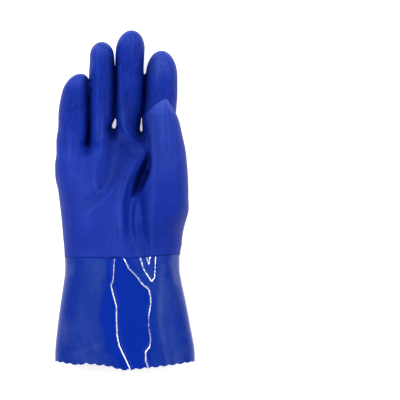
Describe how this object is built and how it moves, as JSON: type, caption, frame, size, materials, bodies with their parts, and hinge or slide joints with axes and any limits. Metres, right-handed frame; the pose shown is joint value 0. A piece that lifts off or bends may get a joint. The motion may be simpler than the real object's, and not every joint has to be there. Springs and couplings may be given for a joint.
{
  "type": "pvc coated work glove",
  "caption": "PVC-coated work glove for the right hand: a hollow textured hand with fingers and thumb, and a smooth flared cuff with a pinked hem, to keep a hand dry and unhurt.",
  "frame": {"origin": "middle of the glove's box, on the ground that its back rests on", "axes": "+Y from the cuff's hem to the fingertips, +X to the thumb's side, +Z out of the palm"},
  "size_m": [0.111, 0.2688, 0.0606],
  "materials": {
    "hand_coat": "matte",
    "cuff_coat": "gloss"
  },
  "bodies": {
    "root": {"hand_shell": "hand_coat", "gauntlet_cuff": "cuff_coat"}
  },
  "joints": []
}
